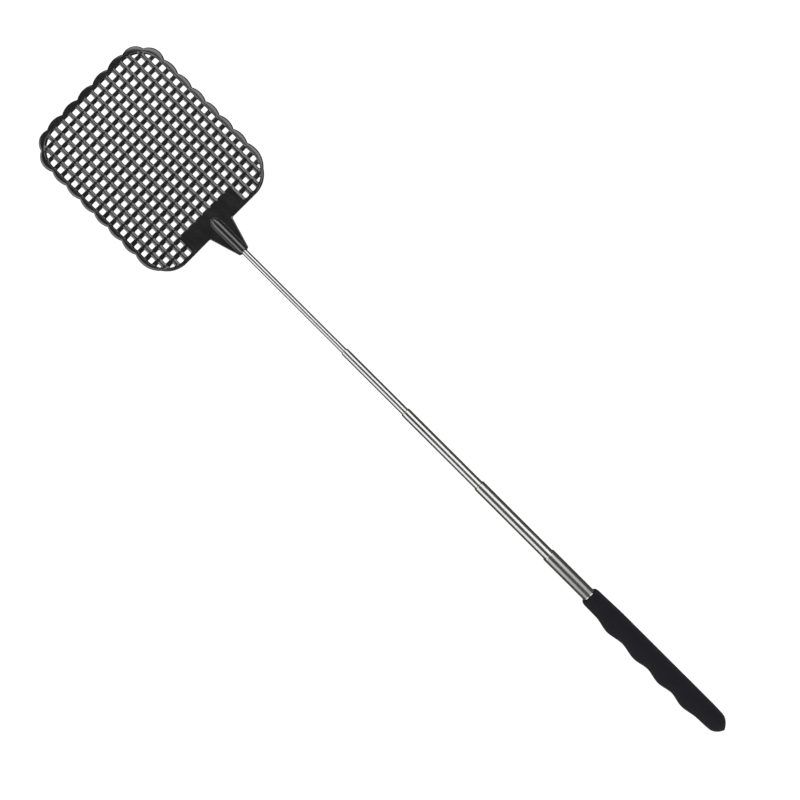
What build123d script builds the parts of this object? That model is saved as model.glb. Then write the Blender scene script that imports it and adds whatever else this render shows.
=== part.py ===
from build123d import *
import os

# Telescopic fly swatter: a moulded mesh head on a five-section stainless rod with a foam grip.
# It lies on its back. X is across the head, Y runs along the rod from the grip to the head, and
# Z is up, out of the head's front face. The origin is on the surface that the grip rests on,
# under the middle of the object's length. Stations are distances from the grip's closed end.

os.makedirs("parts", exist_ok=True)

# ---- driving dimensions, in millimetres ----

OVERALL_LENGTH = 560.5
AXIS_HEIGHT = 6.9

# rod sections, thickest first
TUBE_RADII = (4.4, 3.8, 3.2, 2.6, 2.0)
TUBE_WALL = 0.3
MOUTH_STATIONS = (153.8, 214.5, 278.8, 332.0)
YOKE_STATION = 419.4
TUBE_1_FOOT = 7.1
PLUG_TOP = 10.9
FOOT_CLEARANCE = 0.2
TIP_STAND_OUT = 4.0
RUNNING_CLEARANCE = 0.05
ROLL_LENGTH = 0.8
LIP_LAND = 0.15
LIP_DEPTH = 0.3

# pieces at the foot of each sliding section
BUSH_LENGTH = 5.0
BUSH_FOOT_GAP = 0.4
SPRING_LENGTH = 8.0
SPRING_GAP = 0.2
SPRING_CLEARANCE = 0.04
SPRING_SLOT = 0.8
BEAD_LENGTH = 1.0
BEAD_HEIGHT = 0.15

# ring rolled in the thickest section, where it leaves the grip
GRIP_BEAD_STATION = 117.7
GRIP_BEAD_LENGTH = 1.2
GRIP_BEAD_HEIGHT = 0.3

# grip
GRIP_MOUTH = 118.0
GRIP_BORE_FLOOR = 5.9
GRIP_DISH_DEPTH = 1.6
GRIP_DISH_RADIUS = 5.3
RIDGE_STATIONS = (28.9, 49.4, 70.7, 94.0)
RIDGE_REACH = 8.45
GROOVE_REACH = 6.8
PALM_REACH = 6.9
GRIP_HALF_DEPTH = 6.85

# head
HEAD_BOTTOM = 439.6
RIM_HALF_DEPTH = 1.6
RIB_HALF_DEPTH = 1.0
FRAME_HALF_WIDTH = 46.35
FRAME_BOTTOM = 441.8
FRAME_TOP = 555.8
FRAME_CORNER = 16.0
COLUMN_PITCH = 6.35
COLUMN_RIBS = 14
COLUMN_RIB_TOP = 2.7
COLUMN_RIB_BOTTOM = 3.3
ROW_PITCH = 6.105
ROW_RIBS = 18
TOP_ROW_RIB_STATION = 550.65
ROW_RIB_TOP = 2.35
ROW_RIB_BOTTOM = 2.88
PLATE_HALF_WIDTH = 3.5 * COLUMN_PITCH
PLATE_TOP = 452.9

# scalloped edge of the head: arcs between cusps
SIDE_CUSP_X = 48.95
TOP_SIDE_CUSP = 538.2
SIDE_SCALLOP = 12.12
SIDE_SCALLOPS = 6
SIDE_SAGITTA = 1.6
TOP_CUSP_STATION = 558.65
TOP_SCALLOP = 13.2
TOP_SCALLOPS = 5
TOP_SAGITTA = 1.85
CORNER_CUSP = (44.8, 552.2)
CORNER_SAGITTAS = (3.4, 3.1)
BOTTOM_CUSP = (44.9, 447.4)
BOTTOM_CUSP_SAGITTA = 3.0
BOTTOM_END_X = 32.0
BOTTOM_SAGITTA = 1.7

# yoke and the barrel that holds the rod
YOKE_TOP_HALF_WIDTH = 9.76
YOKE_END_HALF_WIDTH = 3.68
YOKE_END_ROUND = 0.7
YOKE_ROOT_ROUND = 1.2
ROOT_REACH = 0.5
BARREL_END_RADIUS = 3.25
BARREL_RADIUS = 3.5
BARREL_SHOULDER = 441.5
BARREL_TIP = 449.2
SOCKET_DEPTH = 22.0

# plane through the rod's axis, with local Y as the station, and the axis itself
ROD_PLANE = Plane(origin=(0, -OVERALL_LENGTH / 2, AXIS_HEIGHT))
ROD_AXIS = Axis((0, 0, AXIS_HEIGHT), (0, 1, 0))


def cross_plane(station):
    """Plane across the rod at a station, facing the head."""
    origin = (0, station - OVERALL_LENGTH / 2, AXIS_HEIGHT)
    return Plane(origin=origin, x_dir=(1, 0, 0), z_dir=(0, 1, 0))


def inner_radius(section):
    return TUBE_RADII[section] - TUBE_WALL


def tube_ends():
    """Foot and top stations of every section, thickest first.

    Pushed in, each section's foot meets the one outside it, and its top stands a little proud.
    """
    ends = [(TUBE_1_FOOT, MOUTH_STATIONS[0])]
    length = MOUTH_STATIONS[0] + TIP_STAND_OUT - PLUG_TOP - FOOT_CLEARANCE
    for top in MOUTH_STATIONS[1:] + (YOKE_STATION,):
        ends.append((top - length, top))
        length += TIP_STAND_OUT
    foot, top = ends[-1]
    ends[-1] = (foot, top + SOCKET_DEPTH)
    return ends


def export_piece(piece, name):
    piece.part.label = name
    export_step(piece.part, f"parts/{name}.step")


# ---- telescopic rod ----


def rolled_tube(section, foot, top, bead, bead_length, bead_height):
    """Thin tube with a rolled ring near its foot and a mouth rolled in around the next section."""
    outer = TUBE_RADII[section]
    inner = inner_radius(section)
    lip = TUBE_RADII[section + 1] + RUNNING_CLEARANCE
    roll = top - ROLL_LENGTH
    with BuildPart() as tube:
        with BuildSketch(ROD_PLANE):
            with BuildLine():
                Polyline((inner, foot), (outer, foot), (outer, bead))
                crest = (outer + bead_height, bead + bead_length / 2)
                ThreePointArc((outer, bead), crest, (outer, bead + bead_length))
                Line((outer, bead + bead_length), (outer, roll))
                TangentArc((outer, roll), (lip + LIP_LAND, top), tangent=(0, 1))
                Line((lip + LIP_LAND, top), (lip, top))
                Polyline((lip, top), (lip, top - LIP_DEPTH), (inner, roll), (inner, foot))
            make_face()
        revolve(axis=ROD_AXIS)
    return tube


def plain_tip_tube(section, foot, top, bead):
    """Thinnest tube, with a plain top that is pushed into the head."""
    outer = TUBE_RADII[section]
    inner = inner_radius(section)
    with BuildPart() as tube:
        with BuildSketch(ROD_PLANE):
            with BuildLine():
                Polyline((inner, foot), (outer, foot), (outer, bead))
                crest = (outer + BEAD_HEIGHT, bead + BEAD_LENGTH / 2)
                ThreePointArc((outer, bead), crest, (outer, bead + BEAD_LENGTH))
                Polyline((outer, bead + BEAD_LENGTH), (outer, top), (inner, top), (inner, foot))
            make_face()
        revolve(axis=ROD_AXIS)
    return tube


def stop_bush(section, foot):
    """Brass collar pressed on a section's foot: it runs in the bore outside it."""
    with BuildPart() as bush:
        with BuildSketch(cross_plane(foot + BUSH_FOOT_GAP)):
            Circle(inner_radius(section - 1) - RUNNING_CLEARANCE)
            Circle(TUBE_RADII[section], mode=Mode.SUBTRACT)
        extrude(amount=BUSH_LENGTH)
    return bush


def friction_spring(section, start, side):
    """Half-round spring strip between two sections. side is -1 for left and 1 for right."""
    outer = inner_radius(section - 1) - SPRING_CLEARANCE
    with BuildPart() as spring:
        with BuildSketch(cross_plane(start)):
            Circle(outer)
            Circle(TUBE_RADII[section] + SPRING_CLEARANCE, mode=Mode.SUBTRACT)
            with Locations((-side * (outer - SPRING_SLOT / 2), 0)):
                Rectangle(2 * outer, 2 * outer, mode=Mode.SUBTRACT)
        extrude(amount=SPRING_LENGTH)
    return spring


def end_plug():
    """Stepped plug that closes the thickest section's foot inside the grip."""
    with BuildPart() as plug:
        with BuildSketch(cross_plane(GRIP_BORE_FLOOR)):
            Circle(TUBE_RADII[0])
        extrude(amount=TUBE_1_FOOT - GRIP_BORE_FLOOR)
        with BuildSketch(cross_plane(TUBE_1_FOOT)):
            Circle(inner_radius(0))
        extrude(amount=PLUG_TOP - TUBE_1_FOOT)
    return plug


# ---- grip ----


def grip_sections():
    """(station, reach on the finger side, reach on the palm side, half depth) along the grip."""
    closed_end = [
        (0.0, 0.7, 0.8, 0.8),
        (1.0, 2.1, 2.1, 2.0),
        (2.9, 4.2, 4.1, 4.0),
        (4.7, 5.5, 5.5, 5.4),
        (6.6, 6.2, 6.4, 6.2),
        (10.0, 6.5, 6.7, 6.6),
        (17.7, GROOVE_REACH, PALM_REACH, GRIP_HALF_DEPTH),
    ]
    ridges = []
    for number, ridge in enumerate(RIDGE_STATIONS):
        ridges.append((ridge, RIDGE_REACH, PALM_REACH, GRIP_HALF_DEPTH))
        if number + 1 < len(RIDGE_STATIONS):
            groove = (ridge + RIDGE_STATIONS[number + 1]) / 2
            ridges.append((groove, GROOVE_REACH, PALM_REACH, GRIP_HALF_DEPTH))
    mouth = [
        (105.2, 6.6, 6.6, 6.5),
        (112.0, 6.5, 6.4, 6.3),
        (GRIP_MOUTH - 2.2, 6.4, 6.25, 6.2),
        (GRIP_MOUTH - 0.8, 6.1, 6.0, 5.95),
        (GRIP_MOUTH, 5.5, 5.5, 5.45),
    ]
    return closed_end + ridges + mouth


def foam_grip():
    """Foam sleeve with four finger ridges on its left side and a dished mouth."""
    with BuildPart() as grip:
        for station, finger, palm, depth in grip_sections():
            with BuildSketch(cross_plane(station)):
                with Locations(((palm - finger) / 2, 0)):
                    Ellipse((palm + finger) / 2, depth)
        loft()
        with BuildSketch(cross_plane(GRIP_BORE_FLOOR)):
            Circle(TUBE_RADII[0])
        extrude(amount=GRIP_MOUTH - GRIP_BORE_FLOOR, mode=Mode.SUBTRACT)
        dish_floor = GRIP_MOUTH - GRIP_DISH_DEPTH
        with BuildSketch(ROD_PLANE):
            with BuildLine():
                Line((0, dish_floor), (TUBE_RADII[0], dish_floor))
                Line((TUBE_RADII[0], dish_floor), (GRIP_DISH_RADIUS, GRIP_MOUTH))
                Polyline((GRIP_DISH_RADIUS, GRIP_MOUTH), (0, GRIP_MOUTH), (0, dish_floor))
            make_face()
        revolve(axis=ROD_AXIS, mode=Mode.SUBTRACT)
    return grip


# ---- head ----


def side_cusps():
    """Cusps down the head's right side, from the top."""
    cusps = []
    for number in range(SIDE_SCALLOPS + 1):
        cusps.append((SIDE_CUSP_X, TOP_SIDE_CUSP - number * SIDE_SCALLOP))
    return cusps


def head_outline():
    """Scalloped outline of the head's rim, as a closed sketch."""
    top_half_width = TOP_SCALLOPS * TOP_SCALLOP / 2
    bottom_end = (BOTTOM_END_X, HEAD_BOTTOM)
    cusps = side_cusps()
    with BuildSketch(ROD_PLANE) as outline:
        with BuildLine():
            with BuildLine(mode=Mode.PRIVATE) as right_side:
                Line((0, HEAD_BOTTOM), bottom_end)
                SagittaArc(bottom_end, BOTTOM_CUSP, -BOTTOM_SAGITTA)
                SagittaArc(BOTTOM_CUSP, cusps[-1], -BOTTOM_CUSP_SAGITTA)
                for lower, upper in zip(cusps[:0:-1], cusps[-2::-1]):
                    SagittaArc(lower, upper, -SIDE_SAGITTA)
                SagittaArc(cusps[0], CORNER_CUSP, -CORNER_SAGITTAS[0])
                top_cusp = (top_half_width, TOP_CUSP_STATION)
                SagittaArc(CORNER_CUSP, top_cusp, -CORNER_SAGITTAS[1])
            add(right_side.line)
            mirror(right_side.line, about=Plane.YZ)
            for number in range(TOP_SCALLOPS):
                right = top_half_width - number * TOP_SCALLOP
                start = (right, TOP_CUSP_STATION)
                SagittaArc(start, (right - TOP_SCALLOP, TOP_CUSP_STATION), -TOP_SAGITTA)
        make_face()
    return outline


def inner_frame():
    """Rounded window inside the rim."""
    with BuildSketch(ROD_PLANE) as frame:
        with Locations((0, (FRAME_BOTTOM + FRAME_TOP) / 2)):
            RectangleRounded(2 * FRAME_HALF_WIDTH, FRAME_TOP - FRAME_BOTTOM, FRAME_CORNER)
    return frame


def mesh_ribs():
    """Ribs along and across the rod, wider towards the yoke, and the solid plate over the yoke."""
    with BuildSketch(ROD_PLANE) as ribs:
        for number in range(COLUMN_RIBS):
            x = (number - (COLUMN_RIBS - 1) / 2) * COLUMN_PITCH
            wide = COLUMN_RIB_BOTTOM / 2
            narrow = COLUMN_RIB_TOP / 2
            bottom = ((x - wide, FRAME_BOTTOM), (x + wide, FRAME_BOTTOM))
            Polygon(*bottom, (x + narrow, FRAME_TOP), (x - narrow, FRAME_TOP), align=None)
        for number in range(ROW_RIBS):
            share = number / (ROW_RIBS - 1)
            height = ROW_RIB_TOP + share * (ROW_RIB_BOTTOM - ROW_RIB_TOP)
            with Locations((0, TOP_ROW_RIB_STATION - number * ROW_PITCH)):
                Rectangle(2 * FRAME_HALF_WIDTH, height)
        with Locations((0, (FRAME_BOTTOM + PLATE_TOP) / 2)):
            Rectangle(2 * PLATE_HALF_WIDTH, PLATE_TOP - FRAME_BOTTOM)
        add(inner_frame().sketch_local, mode=Mode.INTERSECT)
    return ribs


def yoke_web():
    """Tapered web below the head, with its end corners rounded and its roots filleted."""
    with BuildSketch(ROD_PLANE) as web:
        top = (YOKE_TOP_HALF_WIDTH, HEAD_BOTTOM)
        end = (YOKE_END_HALF_WIDTH, YOKE_STATION)
        Polygon(top, (-top[0], top[1]), (-end[0], end[1]), end, align=None)
        fillet(web.vertices().group_by(Axis.Y)[0], YOKE_END_ROUND)
        with Locations((0, (HEAD_BOTTOM + FRAME_BOTTOM) / 2)):
            Rectangle(2 * BOTTOM_END_X, FRAME_BOTTOM - HEAD_BOTTOM)
        roots = web.vertices().filter_by(lambda corner: abs(abs(corner.X) - top[0]) < ROOT_REACH)
        fillet(roots, YOKE_ROOT_ROUND)
    return web


def swatter_head():
    """One moulding: the ribs in a scalloped rim, with the yoke and the barrel."""
    with BuildPart() as head:
        with BuildSketch(ROD_PLANE):
            add(head_outline().sketch_local)
            add(inner_frame().sketch_local, mode=Mode.SUBTRACT)
        extrude(amount=RIM_HALF_DEPTH, both=True)
        add(mesh_ribs().sketch)
        extrude(amount=RIB_HALF_DEPTH, both=True)
        add(yoke_web().sketch)
        extrude(amount=RIB_HALF_DEPTH, both=True)
        with BuildSketch(ROD_PLANE):
            with BuildLine():
                shoulder = (BARREL_RADIUS, BARREL_SHOULDER)
                Polyline((0, YOKE_STATION), (BARREL_END_RADIUS, YOKE_STATION), shoulder)
                TangentArc(shoulder, (0, BARREL_TIP), tangent=(0, 1))
                Line((0, BARREL_TIP), (0, YOKE_STATION))
            make_face()
        revolve(axis=ROD_AXIS)
        with BuildSketch(cross_plane(YOKE_STATION)):
            Circle(TUBE_RADII[-1])
        extrude(amount=SOCKET_DEPTH, mode=Mode.SUBTRACT)
    return head


# ---- assembly ----


def main():
    ends = tube_ends()
    grip_bead = (GRIP_BEAD_STATION, GRIP_BEAD_LENGTH, GRIP_BEAD_HEIGHT)
    export_piece(rolled_tube(0, *ends[0], *grip_bead), "tube_1")
    for section in range(1, len(TUBE_RADII)):
        foot, top = ends[section]
        number = section + 1
        spring_start = foot + BUSH_FOOT_GAP + BUSH_LENGTH + SPRING_GAP
        bead = spring_start + SPRING_LENGTH + SPRING_GAP
        if number < len(TUBE_RADII):
            tube = rolled_tube(section, foot, top, bead, BEAD_LENGTH, BEAD_HEIGHT)
        else:
            tube = plain_tip_tube(section, foot, top, bead)
        export_piece(tube, f"tube_{number}")
        export_piece(stop_bush(section, foot), f"stop_bush_{number}")
        for side, word in ((-1, "left"), (1, "right")):
            spring = friction_spring(section, spring_start, side)
            export_piece(spring, f"friction_spring_{number}_{word}")
    export_piece(end_plug(), "end_plug")
    export_piece(foam_grip(), "grip")
    export_piece(swatter_head(), "swatter_head")


main()
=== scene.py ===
import math
import bmesh
import bpy
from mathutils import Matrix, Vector
from mathutils.geometry import delaunay_2d_cdt


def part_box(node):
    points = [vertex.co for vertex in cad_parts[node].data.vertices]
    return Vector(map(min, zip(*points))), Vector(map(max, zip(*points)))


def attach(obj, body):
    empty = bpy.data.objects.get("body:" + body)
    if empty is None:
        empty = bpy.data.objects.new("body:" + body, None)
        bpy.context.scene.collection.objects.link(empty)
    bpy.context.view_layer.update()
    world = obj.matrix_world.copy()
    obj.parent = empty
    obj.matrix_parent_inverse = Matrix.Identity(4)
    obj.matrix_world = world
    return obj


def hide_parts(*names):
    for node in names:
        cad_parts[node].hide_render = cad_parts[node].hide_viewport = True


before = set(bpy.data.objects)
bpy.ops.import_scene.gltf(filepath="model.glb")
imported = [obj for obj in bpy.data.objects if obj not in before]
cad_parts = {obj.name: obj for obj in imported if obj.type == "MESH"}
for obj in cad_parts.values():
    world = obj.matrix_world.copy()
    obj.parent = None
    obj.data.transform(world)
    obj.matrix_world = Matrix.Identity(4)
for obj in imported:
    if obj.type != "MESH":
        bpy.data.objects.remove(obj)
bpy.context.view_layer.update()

# Telescopic fly swatter. Shapes are worked out in millimetres as (x, station, height): x is
# across the head, a station is the distance from the grip's closed end, and height is above the
# rod's axis. place() turns them into the frame's metres.

MM = 0.001

# ---- driving dimensions, the same as the CAD part's ----

TUBE_RADII = (4.4, 3.8, 3.2, 2.6, 2.0)
TUBE_WALL = 0.3
MOUTH_STATIONS = (153.8, 214.5, 278.8, 332.0)
YOKE_STATION = 419.4
TUBE_1_FOOT = 7.1
PLUG_TOP = 10.9
FOOT_CLEARANCE = 0.2
TIP_STAND_OUT = 4.0
RUNNING_CLEARANCE = 0.05
ROLL_LENGTH = 0.8
LIP_LAND = 0.15
LIP_DEPTH = 0.3
BUSH_SPACE = 5.6
SPRING_SPACE = 8.2
BEAD_LENGTH = 1.0
BEAD_HEIGHT = 0.15
GRIP_BEAD = (117.7, 1.2, 0.3)

GRIP_MOUTH = 118.0
GRIP_BORE_FLOOR = 5.9
GRIP_DISH_DEPTH = 1.6
GRIP_DISH_RADIUS = 5.3
RIDGE_STATIONS = (28.9, 49.4, 70.7, 94.0)
RIDGE_REACH = 8.45
GROOVE_REACH = 6.8
PALM_REACH = 6.9
GRIP_HALF_DEPTH = 6.85

HEAD_BOTTOM = 439.6
RIM_HALF_DEPTH = 1.6
FRAME_HALF_WIDTH = 46.35
FRAME_BOTTOM = 441.8
FRAME_TOP = 555.8
FRAME_CORNER = 16.0
COLUMN_PITCH = 6.35
COLUMN_RIBS = 14
COLUMN_RIB_TOP = 2.7
COLUMN_RIB_BOTTOM = 3.3
ROW_PITCH = 6.105
ROW_RIBS = 18
TOP_ROW_RIB_STATION = 550.65
ROW_RIB_TOP = 2.35
ROW_RIB_BOTTOM = 2.88
PLATE_COLUMNS = (3, 10)
PLATE_TOP_ROW = 16

SIDE_CUSP_X = 48.95
TOP_SIDE_CUSP = 538.2
SIDE_SCALLOP = 12.12
SIDE_SCALLOPS = 6
SIDE_SAGITTA = 1.6
TOP_CUSP_STATION = 558.65
TOP_SCALLOP = 13.2
TOP_SCALLOPS = 5
TOP_SAGITTA = 1.85
CORNER_CUSP = (44.8, 552.2)
CORNER_SAGITTAS = (3.4, 3.1)
BOTTOM_CUSP = (44.9, 447.4)
BOTTOM_CUSP_SAGITTA = 3.0
BOTTOM_END_X = 32.0
BOTTOM_SAGITTA = 1.7

YOKE_TOP_HALF_WIDTH = 9.76
YOKE_END_HALF_WIDTH = 3.68
YOKE_END_ROUND = 0.7
YOKE_ROOT_ROUND = 1.2
BARREL_END_RADIUS = 3.25
BARREL_RADIUS = 3.5
BARREL_SHOULDER = 441.5
BARREL_TIP = 449.2
SOCKET_DEPTH = 22.0

grip_low, grip_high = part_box("grip")
tube_low, tube_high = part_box("tube_1")
CLOSED_END = grip_low.y
AXIS_HEIGHT = (tube_low.z + tube_high.z) / 2


def place(x, station, height):
    """A point in the frame's metres."""
    return Vector((x * MM, CLOSED_END + station * MM, AXIS_HEIGHT + height * MM))


def smoothstep(value):
    value = max(0.0, min(1.0, value))
    return value * value * (3 - 2 * value)


# ---- meshes ----


def mark_sharp(bm, angle):
    """Smooth shading, with edges sharper than the angle kept sharp."""
    for face in bm.faces:
        face.smooth = True
    for edge in bm.edges:
        edge.smooth = len(edge.link_faces) != 2 or edge.calc_face_angle(0.0) < angle


def mesh_object(name, points, faces, sharp=40.0):
    """Object from (x, station, height) points and faces, with its normals outward."""
    mesh = bpy.data.meshes.new(name)
    mesh.from_pydata([place(*point) for point in points], [], faces)
    bm = bmesh.new()
    bm.from_mesh(mesh)
    bmesh.ops.recalc_face_normals(bm, faces=bm.faces)
    mark_sharp(bm, math.radians(sharp))
    bm.to_mesh(mesh)
    bm.free()
    piece = bpy.data.objects.new(name, mesh)
    bpy.context.scene.collection.objects.link(piece)
    return piece


def ring_faces(rings, count, closed):
    """Quads between consecutive rings of count points; the last ring meets the first if closed."""
    faces = []
    pairs = [(ring, ring + 1) for ring in range(rings - 1)]
    if closed:
        pairs.append((rings - 1, 0))
    for first, second in pairs:
        for step in range(count):
            after = (step + 1) % count
            faces.append((first * count + step, first * count + after,
                          second * count + after, second * count + step))
    return faces


def lathe(name, profile, segments=96):
    """Closed profile of (radius, station) points turned round the rod's axis."""
    points = []
    for radius, station in profile:
        for step in range(segments):
            angle = 2 * math.pi * step / segments
            points.append((radius * math.cos(angle), station, radius * math.sin(angle)))
    return mesh_object(name, points, ring_faces(len(profile), segments, True))


# ---- rod ----


def tube_ends():
    """Foot and top stations of every section, thickest first."""
    ends = [(TUBE_1_FOOT, MOUTH_STATIONS[0])]
    length = MOUTH_STATIONS[0] + TIP_STAND_OUT - PLUG_TOP - FOOT_CLEARANCE
    for top in MOUTH_STATIONS[1:] + (YOKE_STATION,):
        ends.append((top - length, top))
        length += TIP_STAND_OUT
    foot, top = ends[-1]
    ends[-1] = (foot, top + SOCKET_DEPTH)
    return ends


def bead_profile(outer, station, length, height, steps=8):
    """Rolled ring on a tube: an arc standing out of its side."""
    radius = (length * length / 4 + height * height) / (2 * height)
    points = []
    for step in range(steps + 1):
        along = length * step / steps - length / 2
        rise = math.sqrt(radius * radius - along * along) - radius + height
        points.append((outer + rise, station + length / 2 + along))
    return points


def roll_profile(outer, roll, lip, top, steps=8):
    """Mouth rolled in from the tube's side to its lip, as an arc tangent to the side."""
    across = outer - lip
    along = top - roll
    radius = (across * across + along * along) / (2 * across)
    sweep = math.asin(along / radius)
    points = []
    for step in range(1, steps + 1):
        angle = sweep * step / steps
        points.append((outer - radius * (1 - math.cos(angle)), roll + radius * math.sin(angle)))
    return points


def tube_profile(section, foot, top, bead):
    outer = TUBE_RADII[section]
    inner = outer - TUBE_WALL
    profile = [(inner, foot), (outer, foot)] + bead_profile(outer, *bead)
    if section + 1 == len(TUBE_RADII):
        return profile + [(outer, top), (inner, top)]
    lip = TUBE_RADII[section + 1] + RUNNING_CLEARANCE
    roll = top - ROLL_LENGTH
    profile += [(outer, roll)] + roll_profile(outer, roll, lip + LIP_LAND, top)
    return profile + [(lip, top - LIP_LAND / 2), (lip, top - LIP_DEPTH), (inner, roll)]


def make_tubes():
    tubes = []
    for section, (foot, top) in enumerate(tube_ends()):
        bead = GRIP_BEAD
        if section > 0:
            bead = (foot + BUSH_SPACE + SPRING_SPACE, BEAD_LENGTH, BEAD_HEIGHT)
        profile = tube_profile(section, foot, top, bead)
        tubes.append(lathe(f"rod_section_{section + 1}", profile))
    return tubes


# ---- grip ----

RING_PITCH = 1.2
LAST_EVEN_RING = 112.0
DISH_EDGE = 0.15
BORE_FLARE = 0.3


def grip_sections():
    """(station, reach on the finger side, reach on the palm side, half depth) along the grip."""
    closed_end = [
        (0.0, 0.7, 0.8, 0.8),
        (1.0, 2.1, 2.1, 2.0),
        (2.9, 4.2, 4.1, 4.0),
        (4.7, 5.5, 5.5, 5.4),
        (6.6, 6.2, 6.4, 6.2),
        (10.0, 6.5, 6.7, 6.6),
        (17.7, GROOVE_REACH, PALM_REACH, GRIP_HALF_DEPTH),
    ]
    ridges = []
    for number, ridge in enumerate(RIDGE_STATIONS):
        ridges.append((ridge, RIDGE_REACH, PALM_REACH, GRIP_HALF_DEPTH))
        if number + 1 < len(RIDGE_STATIONS):
            groove = (ridge + RIDGE_STATIONS[number + 1]) / 2
            ridges.append((groove, GROOVE_REACH, PALM_REACH, GRIP_HALF_DEPTH))
    mouth = [
        (105.2, 6.6, 6.6, 6.5),
        (112.0, 6.5, 6.4, 6.3),
        (GRIP_MOUTH - 2.2, 6.4, 6.25, 6.2),
        (GRIP_MOUTH - 0.8, 6.1, 6.0, 5.95),
        (GRIP_MOUTH, 5.5, 5.5, 5.45),
    ]
    return closed_end + ridges + mouth


def monotone_slopes(stations, values):
    """Slopes for a smooth curve through the values that never overshoots them."""
    steps = []
    for index in range(len(values) - 1):
        run = stations[index + 1] - stations[index]
        steps.append((values[index + 1] - values[index]) / run)
    slopes = [steps[0]]
    for before, after in zip(steps, steps[1:]):
        product = before * after
        slopes.append(2 * product / (before + after) if product > 0 else 0.0)
    return slopes + [steps[-1]]


def curve_value(stations, values, slopes, station):
    """Value of the smooth curve at a station."""
    index = 0
    while index + 2 < len(stations) and station > stations[index + 1]:
        index += 1
    run = stations[index + 1] - stations[index]
    t = (station - stations[index]) / run
    start, end = values[index], values[index + 1]
    leave, arrive = slopes[index] * run, slopes[index + 1] * run
    return ((2 * t ** 3 - 3 * t ** 2 + 1) * start + (t ** 3 - 2 * t ** 2 + t) * leave
            + (3 * t ** 2 - 2 * t ** 3) * end + (t ** 3 - t ** 2) * arrive)


def grip_ring_stations():
    """Stations of the grip's rings: close together at both ends, even along the ridges."""
    stations = [0.0, 0.25, 0.6, 1.0, 1.5, 2.1, 2.9, 3.8, 4.7, 5.6, 6.6, 7.7, 8.8, 10.0]
    while stations[-1] < LAST_EVEN_RING:
        stations.append(stations[-1] + RING_PITCH)
    from_mouth = (3.5, 2.2, 1.5, 1.1, 0.8, 0.5, 0.25, 0.1, 0.0)
    return stations + [GRIP_MOUTH - back for back in from_mouth]


def make_grip(segments=72):
    """Foam sleeve: outside from the closed end to the mouth, then the dish and the bore."""
    sections = grip_sections()
    stations = [section[0] for section in sections]
    curves = []
    for column in (1, 2, 3):
        values = [section[column] for section in sections]
        curves.append((values, monotone_slopes(stations, values)))
    rings = []
    for station in grip_ring_stations():
        finger, palm, depth = [curve_value(stations, *curve, station) for curve in curves]
        rings.append((station, (palm - finger) / 2, (palm + finger) / 2, depth))
    dish_floor = GRIP_MOUTH - GRIP_DISH_DEPTH
    bore = TUBE_RADII[0]
    flare = bore + BORE_FLARE
    rings.append((GRIP_MOUTH - DISH_EDGE, 0.0, GRIP_DISH_RADIUS, GRIP_DISH_RADIUS))
    rings.append((dish_floor + DISH_EDGE, 0.0, flare, flare))
    rings.append((dish_floor, 0.0, bore, bore))
    rings.append((GRIP_BORE_FLOOR, 0.0, bore, bore))
    points = []
    for station, centre, width, depth in rings:
        for step in range(segments):
            angle = 2 * math.pi * step / segments
            points.append((centre + width * math.cos(angle), station, depth * math.sin(angle)))
    faces = ring_faces(len(rings), segments, False)
    for ring, station in ((0, 0.0), (len(rings) - 1, GRIP_BORE_FLOOR)):
        points.append((rings[ring][1], station, 0.0))
        for step in range(segments):
            after = (step + 1) % segments
            faces.append((ring * segments + step, ring * segments + after, len(points) - 1))
    return mesh_object("foam_grip", points, faces)


# ---- head: outline ----

OFF_MIDDLE = 0.001


def sagitta_arc(start, end, sagitta, count):
    """Points of an arc from start towards end, without end. It bulges to the right of the chord."""
    dx, dy = end[0] - start[0], end[1] - start[1]
    chord = math.hypot(dx, dy)
    radius = chord * chord / (8 * sagitta) + sagitta / 2
    half = math.asin(chord / (2 * radius))
    out = (dy / chord, -dx / chord)
    middle = ((start[0] + end[0]) / 2, (start[1] + end[1]) / 2)
    centre = [middle[i] - out[i] * (radius - sagitta) for i in (0, 1)]
    along = (dx / chord, dy / chord)
    points = []
    for step in range(count):
        angle = half * (2 * step / count - 1)
        rise, run = radius * math.cos(angle), radius * math.sin(angle)
        points.append(tuple(centre[i] + out[i] * rise + along[i] * run for i in (0, 1)))
    return points


def straight(start, end, count):
    """Points from start towards end, without end."""
    points = []
    for step in range(count):
        share = step / count
        points.append((start[0] + (end[0] - start[0]) * share,
                       start[1] + (end[1] - start[1]) * share))
    return points


def rounded_corner(before, corner, after, radius, count):
    """Points of the arc that rounds a corner between two straight runs, ends included."""
    toward_before = (Vector(before) - Vector(corner)).normalized()
    toward_after = (Vector(after) - Vector(corner)).normalized()
    half = toward_before.angle(toward_after) / 2
    reach = radius / math.tan(half)
    middle = (toward_before + toward_after).normalized()
    centre = Vector(corner) + middle * (radius / math.sin(half))
    start = Vector(corner) + toward_before * reach - centre
    end = Vector(corner) + toward_after * reach - centre
    sweep = start.angle_signed(end)
    points = []
    for step in range(count + 1):
        angle = -sweep * step / count
        turned = Vector((start.x * math.cos(angle) - start.y * math.sin(angle),
                         start.x * math.sin(angle) + start.y * math.cos(angle)))
        points.append(tuple(centre + turned))
    return points


def web_outline():
    """Right half of the web's outline, from the middle of its end to the head's bottom edge."""
    end = (YOKE_END_HALF_WIDTH, YOKE_STATION)
    root = (YOKE_TOP_HALF_WIDTH, HEAD_BOTTOM)
    corner = rounded_corner((0, YOKE_STATION), end, root, YOKE_END_ROUND, count=8)
    fillet = rounded_corner(end, root, (BOTTOM_END_X, HEAD_BOTTOM), YOKE_ROOT_ROUND, count=8)
    points = straight((0, YOKE_STATION), corner[0], count=5) + corner[:-1]
    points += straight(corner[-1], fillet[0], count=14) + fillet[:-1]
    return points, fillet[-1]


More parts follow.
